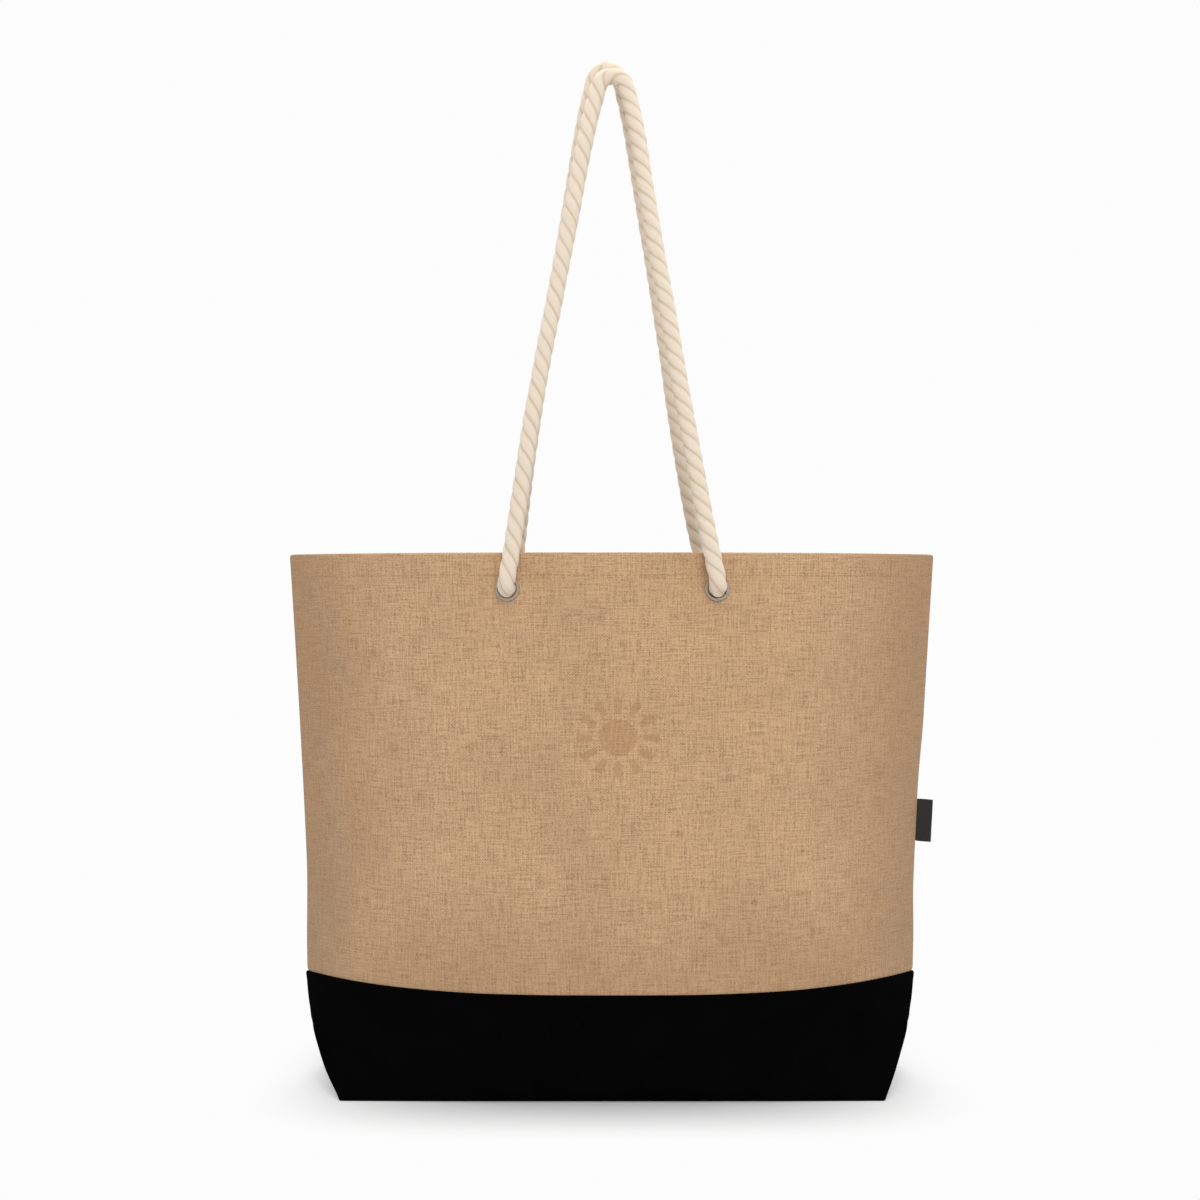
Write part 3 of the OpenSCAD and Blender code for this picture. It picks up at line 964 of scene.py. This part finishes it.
    def base(self) -> Object:
        """The black base: band and bottom in one, with a folded gusset at each end."""
        form, ring = self.form, self.ring_stops()
        levels = [0.0, self.edge] + [mix(self.edge, form.gusset_h, (i + 1) / 9) for i in range(9)]
        levels += [mix(form.gusset_h, form.band_h - 3 * MM, (i + 1) / 6) for i in range(6)]
        levels += [form.band_h - 1.2 * MM, form.band_h]

        def wall(u: float, v: float) -> Spot:
            index, z = round(u * len(ring)), levels[round(v * (len(levels) - 1))]
            face, t = ring[index % len(ring)]
            moved = form.follow_fold(t, z)
            # The band's upper edge laps over the panel and turns in at the top.
            proud = -self.lip * smooth((z - form.band_h + 8 * MM) / (6 * MM))
            turn = self.lip_turn if z == form.band_h else 0.0
            at = self.drape.point(face, moved, z, proud + turn)
            if abs(moved) > 0.999:
                at.y = 0.0
            return at, (u * 2 * form.cloth_w, z)

        def floor(u: float, v: float) -> Spot:
            x = xs[round(u * (len(xs) - 1))] * form.base_l / 2
            y = ys[round(v * (len(ys) - 1))] * form.base_d / 2
            return Vector((x, y, 0.0)), (x, y)

        sheet = grid_sheet(len(ring), len(levels) - 1, wall)
        xs, ys = self.run_stops(form.base_l / 2), self.run_stops(form.base_d / 2)
        bottom = grid_sheet(len(xs) - 1, len(ys) - 1, floor)
        bmesh.ops.reverse_faces(bottom, faces=bottom.faces)
        spare = bpy.data.meshes.new("base_bottom")
        bottom.to_mesh(spare)
        bottom.free()
        sheet.from_mesh(spare)
        bpy.data.meshes.remove(spare)
        weld(sheet, 0.05 * MM)
        return cloth_piece(
            "black_base", sheet, self.canvas, "base_cloth", form.base_t - 0.2 * MM, "base_fabric",
            flat=(form.cloth_w, form.base_d + 2 * form.band_h), held="stretched", rests_on=["base_board"],
        )

    def side_lining(self, face: Face) -> Object:
        """One side of the lining, a little slack inside the shell."""
        form, low = self.form, self.lining_low
        depth = max(self.panel_t, form.base_t) + self.layer_gap
        rows = round((self.facing_low - low) / (1.3 * self.cell))

        def place(u: float, v: float) -> Spot:
            z = mix(low, self.facing_low + 1 * MM, v)
            t = form.follow_fold(2 * u - 1, z)
            # Near the bottom it draws in, clear of the base's rounded edge.
            drawn = self.drawn_in * (1 - smooth((z - low) / self.drawn_h))
            at = self.drape.point(face, t, z, depth + drawn)
            spot = Vector((at.x, at.z, 3.0 * face.value)) / self.slack_size
            slack = self.slack * (0.5 + noise.noise(spot))
            slack *= smooth((1 - abs(t)) * 12) * smooth((z - low) / (30 * MM))
            at.y -= face.value * max(0.0, slack)
            return at, (t * form.cloth_w / 2, z)

        return cloth_piece(
            f"{face.word}_lining_cloth", self.face_sheet(face, rows, place), self.lining,
            "lining_cloth", self.lining_t, f"{face.word}_lining",
            flat=(form.cloth_w, self.facing_low - low), held="hung", rests_on=[f"{face.word}_facing"],
        )

    def base_lining(self) -> Object:
        """The bottom of the lining, over the board."""
        form, low = self.form, self.lining_low
        inset = max(self.panel_t, form.base_t) + self.layer_gap + self.lining_t + self.floor_gap
        half_x, half_y = form.base_l / 2 - inset, form.base_d / 2 - inset
        columns, rows = round(2 * half_x / self.cell), round(2 * half_y / self.cell)

        def place(u: float, v: float) -> Spot:
            # Its corners are cut back where the gusset closes in over them.
            x = (2 * u - 1) * half_x
            y = (2 * v - 1) * (half_y - self.corner_cut * (2 * u - 1) ** 6)
            rise = 0.5 * MM * (1 + noise.noise(Vector((x, y, 5.0)) / (45 * MM)))
            return Vector((x, y, low + self.lining_t + rise)), (x, y)

        return cloth_piece(
            "floor_lining_cloth", grid_sheet(columns, rows, place), self.lining, "lining_cloth",
            self.lining_t, "base_lining",
            flat=(2 * half_x, 2 * half_y), held="laid", rests_on=["base_board"],
        )

    def build(self) -> None:
        """Builds the whole shell."""
        for face in Face:
            self.panel(face)
            self.stitches(face)
            self.facing(face)
            self.side_lining(face)
        self.base()
        self.base_lining()


# ------------------------------------------------------------------- the ropes


@dataclass(frozen=True)
class RopeMaker:
    """Lays a three-strand rope along any line."""

    diameter: float = 13 * MM
    lay: float = 38 * MM
    strands: int = 3
    around: int = 42
    step: float = 2.2 * MM
    strand_r: float = 0.80
    strand_off: float = 0.20
    groove_fade: float = 2.6

    def radius(self, angle: float) -> float:
        """The section's radius at an angle, as a share of its largest."""
        third, off = 2 * math.pi / self.strands, self.strand_off
        local = (angle + third / 2) % third - third / 2
        return off * math.cos(local) + math.sqrt(self.strand_r ** 2 - (off * math.sin(local)) ** 2)

    def resample(self, points: Sequence[Vector]) -> list[Vector]:
        """A smooth line through the points, at even steps.

        Args:
            points: The points it passes through.

        Returns:
            Points a step apart along the line.
        """
        dense = []
        ends = [2 * points[0] - points[1], *points, 2 * points[-1] - points[-2]]
        for i in range(1, len(ends) - 2):
            a, b, c, e = ends[i - 1:i + 3]
            gaps = [math.sqrt((q - p).length) for p, q in ((a, b), (b, c), (c, e))]
            leave = (b - a) / gaps[0] - (c - a) / (gaps[0] + gaps[1]) + (c - b) / gaps[1]
            arrive = (c - b) / gaps[1] - (e - b) / (gaps[1] + gaps[2]) + (e - c) / gaps[2]
            for k in range(12):
                s = k / 12
                dense.append(
                    (2 * s ** 3 - 3 * s * s + 1) * b + (s ** 3 - 2 * s * s + s) * gaps[1] * leave
                    + (3 * s * s - 2 * s ** 3) * c + (s ** 3 - s * s) * gaps[1] * arrive)
        dense.append(points[-1].copy())
        lengths = [0.0]
        for p, q in zip(dense, dense[1:]):
            lengths.append(lengths[-1] + (q - p).length)
        count = max(4, round(lengths[-1] / self.step))
        line, i = [], 0
        for k in range(count + 1):
            want = lengths[-1] * k / count
            while i < len(lengths) - 2 and lengths[i + 1] < want:
                i += 1
            span = lengths[i + 1] - lengths[i]
            line.append(dense[i].lerp(dense[i + 1], (want - lengths[i]) / span if span else 0.0))
        return line

    def frames(self, line: Sequence[Vector]) -> list[tuple[Vector, Vector]]:
        """Two directions square to the line at each point, that don't twist about it."""
        along = (line[1] - line[0]).normalized()
        side = along.orthogonal().normalized()
        frames = []
        for i, _ in enumerate(line):
            ahead = (line[min(i + 1, len(line) - 1)] - line[max(i - 1, 0)]).normalized()
            side = (side - ahead * side.dot(ahead)).normalized()
            frames.append((side, ahead.cross(side)))
        return frames

    def lay_tube(self, line: Sequence[Vector]) -> BMesh:
        """Sweeps the rope's section along a line, turning as the strands do.

        Args:
            line: Even points of the rope's middle line.

        Returns:
            A closed tube with its grooves in the point attribute "groove".
        """
        frames, rings = self.frames(line), len(line) - 1
        length = sum((q - p).length for p, q in zip(line, line[1:]))
        low = self.radius(math.pi / self.strands)
        depths = []

        def place(u: float, v: float) -> Spot:
            i = round(u * rings)
            angle = 2 * math.pi * (round(v * self.around) % self.around) / self.around
            share = self.radius(angle)
            depths.append(((1 - share) / (1 - low)) ** self.groove_fade)
            turned = angle - 2 * math.pi * u * length / self.lay
            side, up = frames[i]
            r = self.diameter / 2 * share
            at = line[i] + r * (side * math.cos(turned) + up * math.sin(turned))
            return at, (u * length, v * math.pi * self.diameter)

        tube = grid_sheet(rings, self.around, place)
        groove = tube.verts.layers.float.new("groove")
        for vert, depth in zip(tube.verts, depths):
            vert[groove] = depth
        weld(tube, 0.02 * MM, fill=True)
        return tube


@dataclass
class RopeHandle:
    """One rope handle: the rope, its two stopper knots and their frayed ends."""

    form: Form
    face: Face
    maker: RopeMaker
    rope_off: float = 4 * MM
    route_spread: float = 78.5 * MM
    meet_gap: float = 2 * MM
    knot_face: float = 5.2 * MM
    knot_w: float = 34 * MM
    tail_l: float = 42 * MM
    bend: float = 9 * MM
    knot_points: int = 22
    knot_gap: float = 0.62
    knot_deep: float = 1.25
    yarns: int = 40
    yarn_w: float = 0.9 * MM
    yarn_l: tuple[float, float] = (7 * MM, 11 * MM)
    yarn_flare: tuple[float, float] = (0.5 * MM, 2.5 * MM)
    route: Sequence[tuple[float, float]] = ()

    def place(self, side: Side) -> EyeletPlace:
        """The eyelet on that side."""
        return EyeletPlace.of(self.form, self.face, side)

    def pivot(self, side: Side) -> Vector:
        """Where the rope turns up, just outside its eyelet."""
        eyelet = self.place(side)
        return eyelet.middle + eyelet.out * (self.maker.diameter / 2 + self.rope_off)

    def plane_points(self) -> list[Vector]:
        """The route laid in the handle's sloping plane."""
        pivot = self.pivot(Side.RIGHT)
        top = max(h for _, h in self.route) * MM
        reach = abs(pivot.y) - self.maker.diameter / 2 - self.meet_gap / 2
        lean = math.asin(reach / top)
        scale = pivot.x / self.route_spread
        return [
            Vector((
                x * MM * scale,
                pivot.y - self.face.value * h * MM * math.sin(lean),
                pivot.z + h * MM * math.cos(lean),
            ))
            for x, h in self.route
        ]

    def neck(self, side: Side, first: Vector) -> list[Vector]:
        """The rope's way from inside the bag out through the eyelet and up.

        Args:
            side: The eyelet's side.
            first: The first point of the route above it.

        Returns:
            Points from the inside out.
        """
        eyelet, corner = self.place(side), self.pivot(side)
        up = (first - corner).normalized()
        start, end = corner - eyelet.out * self.bend, corner + up * self.bend
        bent = [
            (1 - s) ** 2 * start + 2 * s * (1 - s) * corner + s * s * end for s in (0, 0.25, 0.5, 0.75, 1)
        ]
        return [eyelet.middle - eyelet.out * (self.knot_face + 3 * MM), *bent, corner + up * 1.8 * self.bend]

    def line(self) -> list[Vector]:
        """The rope's whole middle line, from one knot over the top to the other."""
        points = self.plane_points()
        start = self.neck(Side.LEFT, points[0])
        end = self.neck(Side.RIGHT, points[-1])
        return self.maker.resample([*start, *points, *reversed(end)])

    def knot_line(self, side: Side) -> tuple[list[Vector], Vector]:
        """An overhand knot behind the washer, and the way its end hangs down.

        Args:
            side: The knot's side.

        Returns:
            The rope's middle line through the knot, and where its end is.
        """
        eyelet = self.place(side)
        inward = -eyelet.out
        right = Vector((0, 0, 1)).cross(inward).normalized()
        up = inward.cross(right)
        k = self.knot_w / 8.4
        middle = eyelet.middle + inward * (self.knot_face + 2.35 * k)
        loop = []
        for i in range(self.knot_points):
            # A trefoil, left open where the rope comes in and goes out.
            a = mix(self.knot_gap, 2 * math.pi - self.knot_gap, i / (self.knot_points - 1))
            x, y = math.sin(a) + 2 * math.sin(2 * a), math.cos(a) - 2 * math.cos(2 * a)
            flat = right * x * 0.98 + up * y * 0.98
            loop.append(middle + k * (flat - inward * self.knot_deep * math.sin(3 * a)))
        entry = [eyelet.middle + inward * (self.knot_face + way * MM) for way in (-2, 3)]
        low = Vector((middle.x + 2 * MM * side.value, middle.y, middle.z))
        falls = ((0.42 * self.knot_w, 2 * MM), (0.62 * self.knot_w, 1 * MM), (self.tail_l - 6 * MM, 0))
        tail = [low - Vector((0, 0, fall)) + inward * out for fall, out in falls]
        return [*entry, *loop, *tail], tail[-1]

    def knot(self, side: Side, cotton: Material) -> Object:
        """One stopper knot with its frayed end."""
        maker = RopeMaker(diameter=10.8 * MM, lay=30 * MM, around=30, step=1.8 * MM)
        points, end = self.knot_line(side)
        tube = maker.lay_tube(maker.resample(points))
        self.fray(tube, end, maker.diameter)
        made = piece(f"{self.face.word}_{side.word}_stopper_knot", tube, cotton)
        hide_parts(f"{self.face.word}_{side.word}_knot")
        return made

    def fray(self, tube: BMesh, end: Vector, width: float) -> None:
        """Adds the loose yarns of the rope's end.

        Args:
            tube: The knot's shape, which they join.
            end: The middle of the rope's cut end.
            width: The rope's thickness there.
        """
        rng = random.Random(f"{self.face.word} {end.x:.3f}")
        cloth = tube.loops.layers.uv["cloth"]
        for _ in range(self.yarns):
            turn, reach = rng.uniform(0, 2 * math.pi), width / 2 * math.sqrt(rng.random())
            way = Vector((math.cos(turn), math.sin(turn), 0))
            root = end + way * reach * 0.75 + Vector((0, 0, 3 * MM))
            length = rng.uniform(*self.yarn_l)
            flare = way * rng.uniform(*self.yarn_flare)
            made = bmesh.ops.create_cone(tube, segments=5, radius1=0.5, radius2=0.5, depth=1.0, cap_ends=True)
            shape = Matrix.Diagonal((self.yarn_w, self.yarn_w, length, 1.0))
            shear = Matrix.Identity(4)
            shear[0][2], shear[1][2] = -flare.x / length, -flare.y / length
            middle = root + flare / 2 + Vector((0, 0, -length / 2))
            bmesh.ops.transform(tube, verts=made["verts"], matrix=Matrix.Translation(middle) @ shear @ shape)
            for corner in (loop for v in made["verts"] for loop in v.link_loops):
                corner[cloth].uv = (corner.vert.co.z, corner.vert.co.x)

    def build(self, cotton: Material) -> Object:
        """Builds the handle: its rope and its two stopper knots."""
        line = self.line()
        word = self.face.word
        rope = piece(f"{word}_twisted_rope", self.maker.lay_tube(line), cotton, body=None)
        pivot = self.pivot(Side.RIGHT)
        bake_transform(rope)
        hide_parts(f"{word}_rope", f"{word}_left_rope_neck", f"{word}_right_rope_neck")
        knots = [self.knot(side, cotton) for side in Side]
        tuple(self.place(Side.LEFT).middle)
        return rope


# Each handle's middle line as seen from the front, from its left end over the
# top to its right end: millimetres across, and up the handle's plane.
FRONT_ROUTE = [
    (-74, 28), (-69.5, 60), (-65, 92), (-60.5, 124), (-55, 156), (-49.5, 188),
    (-43.5, 219), (-38, 250), (-32, 282), (-26.5, 314), (-20.5, 347), (-16.5, 366),
    (-13, 380), (-10.5, 390), (-9.5, 393.5), (-7, 397), (-3.5, 399), (0.5, 400),
    (4.5, 399), (8, 397), (10.5, 393.5), (11.5, 390), (14, 380), (17, 366),
    (20.5, 347), (25, 314), (30, 282), (35, 250), (40.5, 219), (45.5, 188),
    (50.5, 156), (56, 124), (61.5, 92), (67, 60), (73, 28),
]
BACK_ROUTE = [
    (-77, 28), (-73.5, 60), (-69.5, 92), (-65, 124), (-60, 156), (-54.5, 188),
    (-48.5, 219), (-42.5, 250), (-36.5, 282), (-31, 314), (-25.5, 347), (-20.5, 374),
    (-17, 389), (-14.5, 399), (-13.5, 402.5), (-11, 406.5), (-7.5, 409), (-3.5, 410),
    (0.5, 409), (4, 406.5), (6.5, 402.5), (7.5, 399), (10, 389), (13.5, 374),
    (18.5, 347), (24, 314), (29.5, 282), (35, 250), (40, 219), (45, 188),
    (49.5, 156), (54.5, 124), (60, 92), (66, 60), (73, 28),
]


# ------------------------------------------------------------- small fittings


@dataclass
class Fittings:
    """The eyelets, washers and board that keep their own shapes, and the side label."""

    form: Form
    label_w: float = 9 * MM
    label_h: float = 33 * MM
    label_z: float = 180 * MM
    label_t: float = 0.45 * MM
    caught: float = 2.6 * MM
    droop: float = 1 * MM

    def dress_node(self, node: str, material: Material) -> None:
        """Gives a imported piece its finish."""
        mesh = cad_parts[node].data
        if not mesh.materials:
            mesh.materials.append(material)
        for i in range(len(mesh.materials)):
            mesh.materials[i] = material

    def label(self) -> Object:
        """A blank woven tape, folded double and caught in the right side seam."""
        form = self.form
        gap = 0.5 * MM
        across = [0.0, 0.25, 0.5, 0.75, 0.92, 1.0]
        section = [(a, -1) for a in across] + [(1.03, 0)] + [(a, 1) for a in reversed(across)]

        def place(u: float, v: float) -> Spot:
            share, way = section[round(u * (len(section) - 1))]
            z = self.label_z + self.label_h * v
            x = form.half_w(z) - self.caught + share * (self.label_w + self.caught + 0.8 * MM)
            lift = 0.35 * MM * math.sin(v * 5.1 + 0.6) * share
            y = way * gap * (0.55 + 0.45 * math.sin(math.pi * min(1, share))) + lift
            return Vector((x, y, z - self.droop * share)), (u * 2 * self.label_w, z)

        strip = grid_sheet(len(section) - 1, 16, place)
        tape = PlainWeave("label_tape", "#1C1A18", "#292623", 1.0 * MM, 0.6, bump=0.5, sheen=0.05).build()
        return cloth_piece(
            "folded_label", strip, tape, "label_tape", self.label_t, "side_label",
            flat=(2 * self.label_w, self.label_h), held="stretched", rests_on=["front_panel"],
        )

    def build(self) -> None:
        """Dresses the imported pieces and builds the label."""
        nickel, board = PlatedNickel().build(), PressedBoard().build()
        for face in Face:
            for side in Side:
                for kind in ("eyelet", "washer"):
                    self.dress_node(f"{face.word}_{side.word}_{kind}", nickel)
        self.dress_node("base_board", board)
        self.label()


# ---------------------------------------------------------------------- studio


@dataclass(frozen=True)
class StudioPaper(Finish):
    """Dull pale paper. In a patch about the bag it is greyer than the surround, a painted shadow pool that
    deepens the lamps' own shadow. Away from the bag it glows as pale as the surround, so no horizon shows.
    """

    name: str = "studio_paper"
    # Its grey, darker than the glow about it, paints a soft shadow pool near the bag.
    colour: str = "#E9E9EA"
    paleness: float = 0.975
    # Reach of the patch about the bag where the paper is grey, a painted shadow pool, along each axis.
    patch: tuple[float, float, float] = (0.200, 0.120, 1.0)

    def surface(self, tree: NodeTree) -> dict:
        """What the shader's inputs hold."""
        return {"Base Color": linear(self.colour), "Roughness": 1.0, "Specular IOR Level": 0.0}

    def build(self) -> Material:
        """The material, with its glow mixed in."""
        material = super().build()
        tree = material.node_tree
        spread = add(tree, "VectorMath", {
            0: add(tree, "TexCoord", output="Object"), 1: tuple(1 / size for size in self.patch),
        }, operation="MULTIPLY")
        boxed = add(tree, "VectorMath", {0: spread, 1: spread}, operation="MULTIPLY")
        reach = add(tree, "VectorMath", {0: boxed}, "Value", operation="LENGTH")
        # Near the bag the grey paper paints a soft shadow pool; further off it glows as pale as the surround.
        away = add(tree, "MapRange", {
            "Value": reach, "From Min": 0.5, "From Max": 1.9}, interpolation_type="SMOOTHSTEP")
        glow = add(tree, "Emission", {"Color": linear("#FFFFFF"), "Strength": self.paleness})
        both = add(tree, "MixShader", {0: away, 1: tree.nodes["Principled BSDF"].outputs[0], 2: glow})
        feed(tree.nodes["Material Output"], {"Surface": both})
        return material


@dataclass(frozen=True)
class Studio:
    """A pale floor, soft light and a level camera."""

    eye: tuple[float, float, float] = (-0.009, -1.300, 0.3667)
    lens: float = 50.3
    sensor: float = 36
    ambient: float = 0.42
    aim: tuple[float, float, float] = (0, 0, 0.3)
    floor_reach: float = 6.0
    # Each lamp's name, place, size in metres and power in watts.
    lamps: tuple = (
        ("overhead", (0.0, 0.55, 2.4), 1.3, 29),
        ("front", (0.3, -2.1, 2.2), 1.8, 40),
        ("left_rim", (-1.9, 0.4, 1.2), 1.4, 8),
        ("right_rim", (1.9, 0.4, 1.2), 1.4, 8),
    )

    def camera(self) -> None:
        """Sets the camera level, looking along +Y."""
        data = bpy.data.cameras.new("camera")
        data.lens = self.lens
        data.sensor_width = self.sensor
        camera = link("camera", data)
        camera.location = self.eye
        camera.rotation_euler = (math.radians(90), 0, 0)
        bpy.context.scene.camera = camera

    def lamp(self, name: str, at: Sequence[float], size: float, power: float) -> None:
        """Adds one soft lamp that points at the bag."""
        data = bpy.data.lights.new(name, "AREA")
        data.size = size
        data.energy = power
        lamp = link(name, data)
        lamp.location = at
        lamp.rotation_euler = (Vector(self.aim) - Vector(at)).to_track_quat("-Z", "Y").to_euler()

    def surround(self, paleness: float) -> None:
        """Sets a soft even light from all round, which the camera sees as plain and pale."""
        world = bpy.data.worlds.new("surround")
        world.use_nodes = True
        sky = world.node_tree
        lit = sky.nodes["Background"]
        feed(lit, {"Color": linear("#FFFFFF"), "Strength": self.ambient})
        seen = add(sky, "Background", {"Color": linear("#FFFFFF"), "Strength": paleness})
        shown = add(sky, "MixShader", {
            0: add(sky, "LightPath", output="Is Camera Ray"), 1: lit.outputs[0], 2: seen})
        feed(sky.nodes["World Output"], {"Surface": shown})
        bpy.context.scene.world = world

    def build(self) -> None:
        """Builds the floor, the lamps and the pale surround."""
        floor = bmesh.new()
        bmesh.ops.create_grid(floor, x_segments=2, y_segments=2, size=self.floor_reach)
        mesh = bpy.data.meshes.new("floor")
        floor.to_mesh(mesh)
        floor.free()
        paper = StudioPaper()
        mesh.materials.append(paper.build())
        link("floor", mesh)
        self.surround(paper.paleness)
        for lamp in self.lamps:
            self.lamp(*lamp)
        bpy.context.scene.view_settings.view_transform = "Standard"


def main() -> None:
    """Builds the bag, piece by piece."""
    logging.basicConfig(level=logging.INFO, format="%(name)s %(message)s")
    Studio().camera()
    form = Form.from_frame()
    drape = Drape(form)
    cotton = TwistedCotton().build()
    for face, route in ((Face.FRONT, FRONT_ROUTE), (Face.BACK, BACK_ROUTE)):
        RopeHandle(form, face, RopeMaker(), route=route).build(cotton)
    ClothShell(form, drape).build()
    Fittings(form).build()
    Studio().build()


if __name__ == "__main__":
    main()
